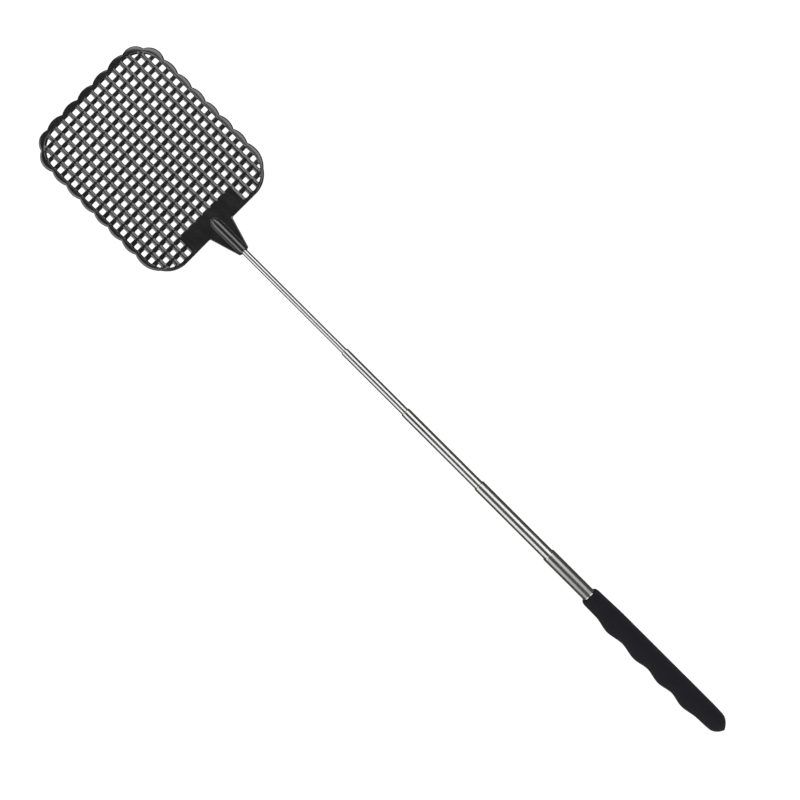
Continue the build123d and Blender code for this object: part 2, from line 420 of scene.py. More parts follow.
def half_outline():
    """Right half of the head's outline, anticlockwise from the yoke's end to the top's middle."""
    web, root = web_outline()
    bottom_end = (BOTTOM_END_X, HEAD_BOTTOM)
    points = web + straight(root, bottom_end, count=16)
    cusps = []
    for number in range(SIDE_SCALLOPS, -1, -1):
        cusps.append((SIDE_CUSP_X, TOP_SIDE_CUSP - number * SIDE_SCALLOP))
    points += sagitta_arc(bottom_end, BOTTOM_CUSP, BOTTOM_SAGITTA, count=14)
    points += sagitta_arc(BOTTOM_CUSP, cusps[0], BOTTOM_CUSP_SAGITTA, count=18)
    for lower, upper in zip(cusps, cusps[1:]):
        points += sagitta_arc(lower, upper, SIDE_SAGITTA, count=14)
    points += sagitta_arc(cusps[-1], CORNER_CUSP, CORNER_SAGITTAS[0], count=16)
    right = TOP_SCALLOPS * TOP_SCALLOP / 2
    top_start = (right, TOP_CUSP_STATION)
    points += sagitta_arc(CORNER_CUSP, top_start, CORNER_SAGITTAS[1], count=16)
    for number in range(TOP_SCALLOPS):
        start = (right - number * TOP_SCALLOP, TOP_CUSP_STATION)
        end = (start[0] - TOP_SCALLOP, TOP_CUSP_STATION)
        scallop = sagitta_arc(start, end, TOP_SAGITTA, count=16)
        points += [point for point in scallop if point[0] > OFF_MIDDLE]
    return points


def full_outline():
    right = half_outline()
    top = (0.0, TOP_CUSP_STATION + TOP_SAGITTA)
    left = [(-x, station) for x, station in reversed(right[1:])]
    return right + [top] + left


# ---- head: rim crest, ribs and holes ----

CREST_OFFSET = 0.9
CREST_RADIUS = FRAME_CORNER + CREST_OFFSET
CREST_X = FRAME_HALF_WIDTH - FRAME_CORNER
CREST_LOW = FRAME_BOTTOM + FRAME_CORNER
CREST_HIGH = FRAME_TOP - FRAME_CORNER

# How far in the web's edge is rounded, the width of the ring inside the rim's crest, the half
# thickness of a rib's edge, and what is left of a rib between the lips of two holes, halved.
WEB_ROUND = 0.55
SUPPORT = 0.07
EDGE_HALF = 0.4
CREST_GAP = 0.05
RIM_LIP = CREST_OFFSET - 2 * SUPPORT

# A rib's top is an arc that leans CREST_TILT at its middle and EDGE_TILT at its edge.
CREST_TILT = math.radians(10)
EDGE_TILT = math.radians(52)
COLUMN_CREST = 1.1
ROW_CREST = 0.88
PLATE_LEVEL = 0.9
PLATE_HALF_WIDTH = 3.5 * COLUMN_PITCH
PLATE_TOP = TOP_ROW_RIB_STATION - PLATE_TOP_ROW * ROW_PITCH
PLATE_EASE = 3.0
WEB_BLEND = (10.5, 18.0)
HOLE_CORNER = 0.5
SMALL_HOLE_CORNER = 0.3
LEAST_HOLE_AREA = 0.05
HOLE_BLANK = ((-200.0, 0.0), (200.0, 0.0), (200.0, 900.0), (-200.0, 900.0))
HOLE_TURN = math.radians(23)
NEAR_RIM = 1.0
UPPER_LIPS_FROM = CREST_LOW + 30
RIM_FULLNESS = 2.2
RIM_EDGE_HALF = 0.3
RIM_STEPS = 8
MERGE_GAP = 1e-7
MIDDLE_COLUMN = (COLUMN_RIBS - 1) / 2

# Gaps, steps and pitches of the loose points that shape the flat part between the loops.
CROSSING_GAPS = (0.3, 0.6, 0.9, 1.4)
KNOT_STEPS = 3
PLATE_SIDE_STEPS = 14
PLATE_SIDE_GAPS = (0.0, 0.5, 1.0, 1.5, 2.0, 2.5, 3.0)
PLATE_FOOT_STEPS = 28
PLATE_FOOT_PITCH = 0.75
PLATE_FOOT_GAPS = (0.3, 0.6, 0.9, 1.2, 1.5)
WEB_STEPS = 14
WEB_PITCH = 1.4
WEB_START = 1.5
WEB_STOP = 1.0
RIM_CLEARANCE = 0.25


def column_x(column):
    """Position across the head of a column rib's middle line."""
    return (column - MIDDLE_COLUMN) * COLUMN_PITCH


def row_station(row):
    """Station of a row rib's middle line."""
    return TOP_ROW_RIB_STATION - row * ROW_PITCH


def crest_point(x, station):
    """Nearest point of the rim's crest line, a rounded rectangle round the window."""
    side = math.copysign(1.0, x)
    x = abs(x)
    centre_x = min(x, CREST_X)
    centre_y = min(max(station, CREST_LOW), CREST_HIGH)
    away = Vector((x - centre_x, station - centre_y))
    away.normalize()
    return side * (centre_x + away.x * CREST_RADIUS), centre_y + away.y * CREST_RADIUS


def crest_gap(x, station):
    """Distance inward from the rim's crest line."""
    across = abs(x) - CREST_X
    along = max(CREST_LOW - station, station - CREST_HIGH)
    corner = math.hypot(max(across, 0.0), max(along, 0.0))
    return CREST_RADIUS - corner - min(max(across, along), 0.0)


def crown(share, top):
    """Height of a rounded rib at a share of its half width from its middle."""
    if share >= 1:
        return EDGE_HALF
    flattest = math.sin(CREST_TILT)
    tilt = math.asin(flattest + share * (math.sin(EDGE_TILT) - flattest))
    up = (math.cos(tilt) - math.cos(EDGE_TILT)) / (math.cos(CREST_TILT) - math.cos(EDGE_TILT))
    return EDGE_HALF + (top - EDGE_HALF) * up


def nearest(value, count):
    return max(0, min(count - 1, round(value)))


def surface(x, station):
    """Half thickness of the mesh, the plate and the web, inside the rim's crest."""
    on_plate = abs(x) < PLATE_HALF_WIDTH and station < PLATE_TOP
    height = PLATE_LEVEL if on_plate or station < HEAD_BOTTOM else EDGE_HALF
    column = nearest(x / COLUMN_PITCH + MIDDLE_COLUMN, COLUMN_RIBS)
    if on_plate and station > FRAME_BOTTOM:
        share = (PLATE_HALF_WIDTH - abs(x)) / PLATE_EASE
        height += (COLUMN_CREST - PLATE_LEVEL) * (1 - smoothstep(share))
    elif station > FRAME_BOTTOM:
        away = abs(x - column_x(column)) / column_half(station)
        height = max(height, crown(away, COLUMN_CREST))
    row = nearest((TOP_ROW_RIB_STATION - station) / ROW_PITCH, ROW_RIBS)
    if not on_plate:
        away = abs(station - row_station(row)) / row_half(row)
        height = max(height, crown(away, ROW_CREST))
    gap = crest_gap(x, station)
    if station > HEAD_BOTTOM and gap < CREST_OFFSET:
        rim = crown(max(gap, 0.0) / CREST_OFFSET, RIM_HALF_DEPTH)
        if on_plate:
            start, run = WEB_BLEND
            rim = PLATE_LEVEL + (rim - PLATE_LEVEL) * smoothstep((abs(x) - start) / run)
        height = max(height, rim)
    return height


def inward_normals(outline):
    """Unit normals that point into the head, one for each outline point."""
    normals = []
    for index in range(len(outline)):
        before = Vector(outline[index - 1])
        after = Vector(outline[(index + 1) % len(outline)])
        along = (after - before).normalized()
        normals.append((-along.y, along.x))
    return normals


def rim_targets(outline):
    """Where each outline point's slope ends: on the crest line, or a little way into the web."""
    targets = []
    for point, normal in zip(outline, inward_normals(outline)):
        if abs(point[0]) > BOTTOM_END_X or point[1] > FRAME_BOTTOM:
            targets.append(crest_point(*point))
            continue
        share = smoothstep((point[1] - (HEAD_BOTTOM - YOKE_ROOT_ROUND)) / YOKE_ROOT_ROUND)
        reach = WEB_ROUND + (FRAME_BOTTOM - CREST_OFFSET - HEAD_BOTTOM - WEB_ROUND) * share
        targets.append((point[0] + normal[0] * reach, point[1] + normal[1] * reach))
    return targets


def clip(polygon, point, normal):
    """The part of a convex polygon behind a line."""
    kept = []
    for index, here in enumerate(polygon):
        there = polygon[(index + 1) % len(polygon)]
        a = (here[0] - point[0]) * normal[0] + (here[1] - point[1]) * normal[1]
        b = (there[0] - point[0]) * normal[0] + (there[1] - point[1]) * normal[1]
        if a <= 0:
            kept.append(here)
        if a * b < 0:
            share = a / (a - b)
            kept.append((here[0] + (there[0] - here[0]) * share,
                         here[1] + (there[1] - here[1]) * share))
    return kept


def column_line(number, side):
    """Point and outward normal of a column rib's edge, seen from the hole beside it."""
    x = column_x(number)
    low = Vector((x + side * COLUMN_RIB_BOTTOM / 2, FRAME_BOTTOM))
    high = Vector((x + side * COLUMN_RIB_TOP / 2, FRAME_TOP))
    along = (high - low).normalized()
    return tuple(low), (-side * along.y, side * along.x)


def row_edges(number):
    """Lower and upper stations of a row rib."""
    share = number / (ROW_RIBS - 1)
    half = (ROW_RIB_TOP + share * (ROW_RIB_BOTTOM - ROW_RIB_TOP)) / 2
    station = row_station(number)
    return station - half, station + half


def window_lines(steps=16):
    """Points and outward normals of lines round the window, tangent to its corners."""
    lines = []
    for side_x in (-1, 1):
        for side_y, centre_y in ((-1, CREST_LOW), (1, CREST_HIGH)):
            for step in range(steps + 1):
                angle = math.pi / 2 * step / steps
                normal = (side_x * math.cos(angle), side_y * math.sin(angle))
                centre = (side_x * CREST_X, centre_y)
                point = tuple(centre[i] + normal[i] * FRAME_CORNER for i in (0, 1))
                lines.append((point, normal))
    return lines


def area(polygon):
    total = 0.0
    for index, here in enumerate(polygon):
        there = polygon[(index + 1) % len(polygon)]
        total += here[0] * there[1] - there[0] * here[1]
    return total / 2


def tidy(polygon, gap=0.02, least_turn=0.01):
    """The polygon without points that lie on top of each other or in a straight side."""
    kept = []
    for point in polygon:
        if not kept or math.dist(point, kept[-1]) > gap:
            kept.append(point)
    while len(kept) > 1 and math.dist(kept[0], kept[-1]) <= gap:
        kept.pop()
    corners = []
    for index, here in enumerate(kept):
        before = Vector(here) - Vector(kept[index - 1])
        after = Vector(kept[(index + 1) % len(kept)]) - Vector(here)
        if before.angle(after) > least_turn:
            corners.append(here)
    return corners


def hole_core(lines, corner):
    """Hole polygon pulled in by its corner radius, or nothing if no hole is left."""
    polygon = list(HOLE_BLANK)
    for point, normal in lines:
        shifted = (point[0] - normal[0] * corner, point[1] - normal[1] * corner)
        polygon = clip(polygon, shifted, normal)
        if len(polygon) < 3:
            return []
    polygon = tidy(polygon)
    return polygon if len(polygon) > 2 and area(polygon) > LEAST_HOLE_AREA else []


def column_half(station):
    """Half width of the column ribs at a station."""
    share = (station - FRAME_BOTTOM) / (FRAME_TOP - FRAME_BOTTOM)
    return (COLUMN_RIB_BOTTOM + share * (COLUMN_RIB_TOP - COLUMN_RIB_BOTTOM)) / 2


def row_half(number):
    """Half width of a row rib, or of the nearest one."""
    low, high = row_edges(max(0, min(ROW_RIBS - 1, number)))
    return (high - low) / 2


def hole_lips(row, core):
    """Widths of the rounded lips on a hole's left, right, lower and upper sides."""
    stations = [point[1] for point in core]
    across = column_half(max(stations)) - CREST_GAP
    lips = [across, across, row_half(row) - CREST_GAP, row_half(row - 1) - CREST_GAP]
    for x, station in core:
        side_x, side_y = (1 if x > 0 else 0), (3 if station > UPPER_LIPS_FROM else 2)
        if abs(x) > FRAME_HALF_WIDTH - NEAR_RIM:
            lips[side_x] = min(lips[side_x], RIM_LIP)
        if station > FRAME_TOP - NEAR_RIM or station < FRAME_BOTTOM + NEAR_RIM:
            lips[side_y] = min(lips[side_y], RIM_LIP)
        crest_away = math.dist((x, station), crest_point(x, station))
        if abs(x) > CREST_X and crest_away < CREST_OFFSET + NEAR_RIM:
            lips[side_x] = min(lips[side_x], RIM_LIP)
            lips[side_y] = min(lips[side_y], RIM_LIP)
    return lips


def hole_lines():
    """The row and the lines round each hole of the mesh."""
    window = window_lines()
    holes = []
    for row in range(ROW_RIBS + 1):
        edge_row = row in (0, ROW_RIBS)
        top = FRAME_TOP if row == 0 else row_edges(row - 1)[0]
        bottom = FRAME_BOTTOM if row == ROW_RIBS else row_edges(row)[1]
        for column in range(COLUMN_RIBS + 1):
            if row > PLATE_TOP_ROW and PLATE_COLUMNS[0] < column <= PLATE_COLUMNS[1]:
                continue
            if edge_row and column in (0, COLUMN_RIBS):
                continue
            lines = [((0, top), (0, 1)), ((0, bottom), (0, -1))]
            if column > (1 if edge_row else 0):
                lines.append(column_line(column - 1, 1))
            if column < (COLUMN_RIBS - 1 if edge_row else COLUMN_RIBS):
                lines.append(column_line(column, -1))
            holes.append((row, lines + window))
    return holes


def grown(core, corner, lips):
    """Outline of a convex polygon grown by its corner radius and its lips, with round corners."""
    points = []
    for index, here in enumerate(core):
        before = Vector(here) - Vector(core[index - 1])
        after = Vector(core[(index + 1) % len(core)]) - Vector(here)
        start = math.atan2(-before.x, before.y)
        turn = (math.atan2(-after.x, after.y) - start) % (2 * math.pi)
        count = max(1, math.ceil(turn / HOLE_TURN))
        for step in range(count + 1):
            angle = start + turn * step / count
            wide = corner + lips[1 if math.cos(angle) > 0 else 0]
            high = corner + lips[3 if math.sin(angle) > 0 else 2]
            reach = math.hypot(wide * math.cos(angle), high * math.sin(angle))
            points.append((here[0] + wide * wide * math.cos(angle) / reach,
                           here[1] + high * high * math.sin(angle) / reach))
    return points


def round_steps(count, power):
    """(share of the width, share of the height) up a rounded edge, from the edge inwards."""
    steps = []
    for step in range(count + 1):
        angle = math.pi / 2 * step / count
        steps.append((1 - math.cos(angle) ** (2 / power), math.sin(angle) ** (2 / power)))
    return steps


class HalfBody:
    """Top half of the head as rings of points; the lower half is its mirror image."""

    def __init__(self):
        self.points = []
        self.faces = []
        self.walls = []
        self.loops = []

    def add_loop(self, flat, heights):
        start = len(self.points)
        self.points += [(x, y, height) for (x, y), height in zip(flat, heights)]
        return list(range(start, len(self.points)))

    def add_band(self, rings):
        """Quads between rings; the first ring gets a wall, the last one bounds the flat part."""
        count = len(rings[0])
        for first, second in zip(rings, rings[1:]):
            for step in range(count):
                after = (step + 1) % count
                self.faces.append((first[step], first[after], second[after], second[step]))
        self.walls.append(rings[0])
        self.loops.append(rings[-1])


def add_rim(body):
    outline = full_outline()
    targets = rim_targets(outline)
    rings = []
    tops = [surface(*target) for target in targets]
    for across, up in round_steps(RIM_STEPS, RIM_FULLNESS):
        flat = []
        for point, target in zip(outline, targets):
            flat.append(tuple(point[i] + (target[i] - point[i]) * across for i in (0, 1)))
        heights = [RIM_EDGE_HALF + (top - RIM_EDGE_HALF) * up for top in tops]
        rings.append(body.add_loop(flat, heights))
    flat = []
    for point, target in zip(outline, targets):
        inward = Vector((target[0] - point[0], target[1] - point[1])).normalized() * SUPPORT
        flat.append((target[0] + inward.x, target[1] + inward.y))
    rings.append(body.add_loop(flat, [surface(*point) for point in flat]))
    body.add_band(rings)


def add_hole(body, core, corner, lips, steps=6):
    flattest = math.sin(CREST_TILT)
    rings = []
    for step in range(steps + 1):
        tilt = EDGE_TILT + (CREST_TILT - EDGE_TILT) * step / steps
        across = (math.sin(EDGE_TILT) - math.sin(tilt)) / (math.sin(EDGE_TILT) - flattest)
        flat = grown(core, corner, [lip * across for lip in lips])
        heights = [surface(*point) for point in flat] if step else [EDGE_HALF] * len(flat)
        rings.append(body.add_loop(flat, heights))
    body.add_band(rings)


def inside(point, polygon):
    """Whether a point is inside a polygon."""
    odd = False
    for index, here in enumerate(polygon):
        there = polygon[index - 1]
        if (here[1] > point[1]) != (there[1] > point[1]):
            share = (point[1] - here[1]) / (there[1] - here[1])
            if point[0] < here[0] + share * (there[0] - here[0]):
                odd = not odd
    return odd


def fill_flat(body):
    """Triangles over the flat part between the rim's last ring and the holes' last rings."""
    index = []
    owner = []
    edges = []
    for number, loop in enumerate(body.loops):
        start = len(index)
        index += loop
        owner += [number] * len(loop)
        for step in range(len(loop)):
            edges.append((start + step, start + (step + 1) % len(loop)))
    loose = loose_points([body.points[i][:2] for i in body.loops[0]])
    index += body.add_loop(loose, [surface(*point) for point in loose])
    owner += [-1] * len(loose)
    flat = [Vector(body.points[i][:2]) for i in index]
    _, _, triangles, sources, _, _ = delaunay_2d_cdt(flat, edges, [], 0, MERGE_GAP, True)
    rim = [body.points[i][:2] for i in body.loops[0]]
    for triangle in triangles:
        corners = [sources[corner][0] for corner in triangle]
        owners = {owner[corner] for corner in corners}
        if len(owners) == 1:
            number = owners.pop()
            middle = [sum(flat[corner][i] for corner in corners) / 3 for i in (0, 1)]
            if number > 0 or (number == 0 and not inside(middle, rim)):
                continue
        body.faces.append(tuple(index[corner] for corner in corners))


def rim_crossings():
    """Points on the ribs' middle lines, where they climb the rim's inner slope."""
    points = []
    for gap in CROSSING_GAPS:
        radius = CREST_RADIUS - gap
        for column in range(COLUMN_RIBS):
            x = column_x(column)
            reach = math.sqrt(radius ** 2 - max(abs(x) - CREST_X, 0.0) ** 2)
            points += [(x, CREST_HIGH + reach), (x, CREST_LOW - reach)]
        for row in range(ROW_RIBS):
            station = row_station(row)
            over = max(station - CREST_HIGH, CREST_LOW - station, 0.0)
            reach = CREST_X + math.sqrt(radius ** 2 - over ** 2)
            points += [(reach, station), (-reach, station)]
    return points


def loose_points(rim):
    """Points that shape the surface between the loops: crossings, the plate and the web."""
    points = rim_crossings()
    for row in range(ROW_RIBS):
        reach = row_half(row) + HOLE_CORNER
        for column in range(COLUMN_RIBS):
            for step in range(-KNOT_STEPS, KNOT_STEPS + 1):
                station = row_station(row) + reach * step / KNOT_STEPS
                points.append((column_x(column), station))
    for column in PLATE_COLUMNS:
        side = 1 if column < MIDDLE_COLUMN else -1
        for step in range(PLATE_SIDE_STEPS):
            station = FRAME_BOTTOM + (PLATE_TOP - FRAME_BOTTOM) * step / PLATE_SIDE_STEPS
            points += [(column_x(column) + side * away, station) for away in PLATE_SIDE_GAPS]
    for step in range(-PLATE_FOOT_STEPS, PLATE_FOOT_STEPS + 1):
        for gap in PLATE_FOOT_GAPS:
            points.append((step * PLATE_FOOT_PITCH, FRAME_BOTTOM - CREST_OFFSET + gap))
    station = YOKE_STATION + WEB_START
    while station < PLATE_TOP - WEB_STOP:
        points += [(step * WEB_PITCH, station) for step in range(-WEB_STEPS, WEB_STEPS + 1)]
        station += WEB_PITCH
    return [point for point in points if well_inside(point, rim)]


def well_inside(point, rim):
    """Whether a point is inside the rim's crest line and clear of it."""
    if point[1] > FRAME_BOTTOM:
        return crest_gap(*point) > 2 * SUPPORT
    return inside(point, rim) and min(math.dist(point, corner) for corner in rim) > RIM_CLEARANCE


def head_plate():
    """Closed body of the mesh, rim, plate and web."""
    body = HalfBody()
    add_rim(body)
    for row, lines in hole_lines():
        for corner in (HOLE_CORNER, SMALL_HOLE_CORNER):
            core = hole_core(lines, corner)
            if core:
                add_hole(body, core, corner, hole_lips(row, core))
                break
    fill_flat(body)
    count = len(body.points)
    points = body.points + [(x, y, -height) for x, y, height in body.points]
    faces = body.faces + [tuple(i + count for i in reversed(face)) for face in body.faces]
    for wall in body.walls:
        for step, here in enumerate(wall):
            after = wall[(step + 1) % len(wall)]
            faces.append((here, here + count, after + count, after))
    return mesh_object("head_moulding", points, faces)


# ---- head: barrel ----

BARREL_FILLET = 0.45
BARREL_EDGE = 0.35
LEAST_FILLET = 0.03
FILLET_RUN_OUT = 5.0
SEAM_SINK = 0.02
SEAM_ANGLE = math.radians(8)
SEAM_MARGIN = 1.0
FLAT_NORMAL = 0.9998
HEAD_SHARP = math.radians(50)
EDGE_SHARES = (0, 0.1, 0.3, 0.6, 1.0)
BARREL_PITCH = 0.8
TIP_STEPS = 24
TIP_REACH = 0.999
SOCKET_OVERCUT = 1.0


def barrel_radius(station):
    if station <= BARREL_SHOULDER:
        share = (station - YOKE_STATION) / (BARREL_SHOULDER - YOKE_STATION)
        radius = BARREL_END_RADIUS + (BARREL_RADIUS - BARREL_END_RADIUS) * share
        depth = min(BARREL_EDGE, station - YOKE_STATION)
        edge = BARREL_EDGE - depth
        return radius - BARREL_EDGE + math.sqrt(BARREL_EDGE ** 2 - edge * edge)
    run = BARREL_TIP - BARREL_SHOULDER
    arc = (run * run + BARREL_RADIUS ** 2) / (2 * BARREL_RADIUS)
    along = station - BARREL_SHOULDER
    return math.sqrt(arc * arc - along * along) - arc + BARREL_RADIUS


def barrel_section(radius, fillet, steps=12):
    """Right upper quarter of the barrel's section, top first, ending inside the web."""
    level = PLATE_LEVEL
    if radius <= level:
        return [(radius * math.sin(math.pi / 2 * s / (2 * steps)),
                 radius * math.cos(math.pi / 2 * s / (2 * steps))) for s in range(2 * steps + 1)]
    centre = math.sqrt((radius + fillet) ** 2 - (level + fillet) ** 2)
    lean = math.atan2(centre, level + fillet)
    points = []
    for step in range(steps + 1):
        angle = lean * step / steps
        points.append((radius * math.sin(angle), radius * math.cos(angle)))
    for step in range(1, steps + 1):
        angle = lean * (1 - step / steps)
        points.append((centre - fillet * math.sin(angle), level + fillet - fillet * math.cos(angle)))
    return points


def barrel_stations():
    """Stations of the barrel's rings; the last one stops just short of the tip."""
    stations = [YOKE_STATION + BARREL_EDGE * share for share in EDGE_SHARES]
    while stations[-1] < BARREL_SHOULDER - BARREL_PITCH:
        stations.append(stations[-1] + BARREL_PITCH)
    tip = BARREL_TIP - BARREL_SHOULDER
    for step in range(TIP_STEPS + 1):
        share = math.sin(math.pi / 2 * step / TIP_STEPS)
        stations.append(BARREL_SHOULDER + tip * share * TIP_REACH)
    return stations


def head_barrel():
    """Closed body of the barrel, with the fillets that run out on the web and the plate."""
    points = []
    stations = barrel_stations()
    for station in stations:
        growth = smoothstep((station - YOKE_STATION) / FILLET_RUN_OUT)
        fillet = LEAST_FILLET + BARREL_FILLET * growth
        quarter = barrel_section(barrel_radius(station), fillet)
        right = [(x, y - SEAM_SINK) for x, y in quarter]
        upper = [(-x, y) for x, y in reversed(right[1:])] + right
        ring = upper + [(x, -y) for x, y in reversed(upper)]
        points += [(x, station, y) for x, y in ring]
    count = len(ring)
    faces = ring_faces(len(stations), count, False)
    faces.append(tuple(range(count)))
    faces.append(tuple(range(len(points) - count, len(points))))
    return mesh_object("head_barrel", points, faces)


def head_socket(segments=64):
    """The rod's socket, to be cut out of the head."""
    points = []
    for station in (YOKE_STATION - SOCKET_OVERCUT, YOKE_STATION + SOCKET_DEPTH):
        for step in range(segments):
            angle = 2 * math.pi * step / segments
            radius = TUBE_RADII[-1]
            points.append((radius * math.cos(angle), station, radius * math.sin(angle)))
    faces = ring_faces(2, segments, False)
    faces.append(tuple(range(segments)))
    faces.append(tuple(range(segments, 2 * segments)))
    return mesh_object("head_socket", points, faces)


def combine(piece, other, operation):
    """Joins or cuts another closed body into a piece, and removes the other."""
    modifier = piece.modifiers.new("join", "BOOLEAN")
    modifier.operation = operation
    modifier.solver = "EXACT"
    modifier.object = other
    graph = bpy.context.evaluated_depsgraph_get()
    mesh = bpy.data.meshes.new_from_object(piece.evaluated_get(graph))
    piece.modifiers.clear()
    piece.data = mesh
    bpy.data.objects.remove(other)


def mark_barrel_seam(bm):
    """Keep the line where the barrel's fillets meet the flat web and plate sharp."""
    for edge in bm.edges:
        flat = [abs(face.normal.z) > FLAT_NORMAL for face in edge.link_faces]
        if len(flat) != 2 or flat[0] == flat[1]:
            continue
        x, station = edge.verts[0].co.x / MM, (edge.verts[0].co.y - CLOSED_END) / MM
        by_barrel = abs(x) < BARREL_RADIUS + SEAM_MARGIN and station < BARREL_TIP + SEAM_MARGIN
        if by_barrel and edge.calc_face_angle(0.0) > SEAM_ANGLE:
            edge.smooth = False


def make_head():
    head = head_plate()
    combine(head, head_barrel(), "UNION")
    combine(head, head_socket(), "DIFFERENCE")
    bm = bmesh.new()
    bm.from_mesh(head.data)
    mark_sharp(bm, HEAD_SHARP)
    mark_barrel_seam(bm)
    bm.to_mesh(head.data)
    bm.free()
    shading = head.modifiers.new("even_shading", "WEIGHTED_NORMAL")
    shading.keep_sharp = True
    return head


# ---- materials ----


class Nodes:
    """Short names for building a node material."""

    def __init__(self, name):
        self.material = bpy.data.materials.new(name)
        self.material.use_nodes = True
        self.tree = self.material.node_tree
        self.shader = self.tree.nodes["Principled BSDF"]
        self.coordinates = self.add("ShaderNodeTexCoord").outputs["Object"]

    def add(self, kind, **settings):
        node = self.tree.nodes.new(kind)
        for key, value in settings.items():
            setattr(node, key, value)
        return node

    def link(self, output, socket):
        self.tree.links.new(output, socket)

    def mapped(self, scale):
        mapping = self.add("ShaderNodeMapping")
        mapping.inputs["Scale"].default_value = scale
        self.link(self.coordinates, mapping.inputs["Vector"])
        return mapping.outputs["Vector"]

    def noise(self, scale, detail=3.0, roughness=0.5, stretch=(1, 1, 1)):
        node = self.add("ShaderNodeTexNoise")
        node.inputs["Scale"].default_value = scale
        node.inputs["Detail"].default_value = detail
        node.inputs["Roughness"].default_value = roughness
        self.link(self.mapped(stretch), node.inputs["Vector"])
        return node.outputs["Fac"]

    def spots(self, scale):
        node = self.add("ShaderNodeTexVoronoi")
        node.inputs["Scale"].default_value = scale
        self.link(self.coordinates, node.inputs["Vector"])
        return node.outputs

    def ramp(self, value, low, high, start=0.0, end=1.0):
        """value from start..end spread over low..high, each a number or a colour."""
        node = self.add("ShaderNodeValToRGB")
        for element, place_at, shade in zip(node.color_ramp.elements, (start, end), (low, high)):
            colour = shade if isinstance(shade, tuple) else (shade, shade, shade)
            element.position = place_at
            element.color = colour + (1.0,)
        self.link(value, node.inputs["Fac"])
        return node.outputs["Color"]

    def bump(self, height, strength, distance, normal=None):
        node = self.add("ShaderNodeBump")
        node.inputs["Strength"].default_value = strength
        node.inputs["Distance"].default_value = distance
        self.link(height, node.inputs["Height"])
        if normal:
            self.link(normal, node.inputs["Normal"])
        return node.outputs["Normal"]

    def finish(self, colour, roughness, normal, metallic=0.0, ior=1.5):
        self.link(colour, self.shader.inputs["Base Color"])
        self.link(roughness, self.shader.inputs["Roughness"])
        self.link(normal, self.shader.inputs["Normal"])
        self.shader.inputs["Metallic"].default_value = metallic
        self.shader.inputs["IOR"].default_value = ior
        return self.material


def moulded_plastic():
    nodes = Nodes("black_moulded_plastic")
    cloud = nodes.noise(90, detail=4, roughness=0.6)
    grain = nodes.noise(2600, detail=2)
    flow = nodes.noise(300, detail=3, roughness=0.6, stretch=(1, 0.25, 1))
    colour = nodes.ramp(cloud, (0.003, 0.003, 0.0035), (0.007, 0.0069, 0.008), start=0.35, end=0.7)
    roughness = nodes.ramp(flow, 0.17, 0.26, start=0.3, end=0.7)
    normal = nodes.bump(flow, 0.08, 0.0001)
    normal = nodes.bump(grain, 0.08, 0.00003, normal)
    return nodes.finish(colour, roughness, normal, ior=1.68)


def drawn_steel():
    nodes = Nodes("drawn_stainless_steel")
    lines = nodes.noise(3000, detail=3, roughness=0.6, stretch=(1, 0.01, 1))
    smears = nodes.noise(140, detail=3, roughness=0.6, stretch=(1, 0.3, 1))
    colour = nodes.ramp(lines, (0.34, 0.336, 0.33), (0.41, 0.406, 0.4), start=0.3, end=0.7)
    roughness = nodes.ramp(smears, 0.2, 0.28, start=0.3, end=0.7)
    normal = nodes.bump(lines, 0.08, 0.00002)
    return nodes.finish(colour, roughness, normal, metallic=1.0)


def warm_metal(name, dark, bright):
    nodes = Nodes(name)
    lines = nodes.noise(1800, detail=3, roughness=0.6, stretch=(1, 0.1, 1))
    colour = nodes.ramp(nodes.noise(260, detail=3, roughness=0.6), dark, bright, start=0.3, end=0.7)
    roughness = nodes.ramp(lines, 0.22, 0.38, start=0.3, end=0.7)
    return nodes.finish(colour, roughness, nodes.bump(lines, 0.15, 0.00003), metallic=1.0)


def plug_plastic():
    nodes = Nodes("grey_plug_plastic")
    cloud = nodes.noise(200, detail=3, roughness=0.6)
    colour = nodes.ramp(cloud, (0.05, 0.05, 0.052), (0.08, 0.08, 0.083), start=0.3, end=0.7)
    grain = nodes.noise(2200, detail=2)
    return nodes.finish(colour, nodes.ramp(cloud, 0.4, 0.55), nodes.bump(grain, 0.2, 0.00004))


def black_foam():
    nodes = Nodes("black_foam")
    cloud = nodes.noise(70, detail=4, roughness=0.6)
    cells = nodes.spots(2600)
    pores = nodes.spots(900)
    colour = nodes.ramp(cloud, (0.0046, 0.0044, 0.0066), (0.0064, 0.0062, 0.009), start=0.35, end=0.7)
    pits = nodes.ramp(pores["Distance"], 0.0, 1.0, 0.08, 0.3)
    normal = nodes.bump(cells["Distance"], 0.35, 0.00012)
    normal = nodes.bump(pits, 0.3, 0.0002, normal)
    roughness = nodes.ramp(cloud, 0.82, 0.95)
    material = nodes.finish(colour, roughness, normal, ior=1.3)
    nodes.shader.inputs["Sheen Weight"].default_value = 0.02
    nodes.shader.inputs["Sheen Roughness"].default_value = 0.5
    return material


def dress(item, material):
    item.data.materials.clear()
    item.data.materials.append(material)
    for polygon in item.data.polygons:
        polygon.material_index = 0


# ---- the object ----

plastic = moulded_plastic()
steel = drawn_steel()
brass = warm_metal("turned_brass", (0.55, 0.38, 0.14), (0.72, 0.52, 0.22))
bronze = warm_metal("spring_bronze", (0.45, 0.27, 0.13), (0.60, 0.38, 0.20))

head = make_head()
dress(head, plastic)
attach(head, "section_5")
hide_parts("swatter_head")

for number, tube in enumerate(make_tubes(), start=1):
    dress(tube, steel)
    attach(tube, "handle" if number == 1 else f"section_{number}")
    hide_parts(f"tube_{number}")

grip = make_grip()
dress(grip, black_foam())
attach(grip, "handle")
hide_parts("grip")

plug = plug_plastic()
for name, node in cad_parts.items():
    if name.startswith("stop_bush"):
        dress(node, brass)
    elif name.startswith("friction_spring"):
        dress(node, bronze)
    elif name == "end_plug":
        dress(node, plug)

# ---- floor, light and camera ----

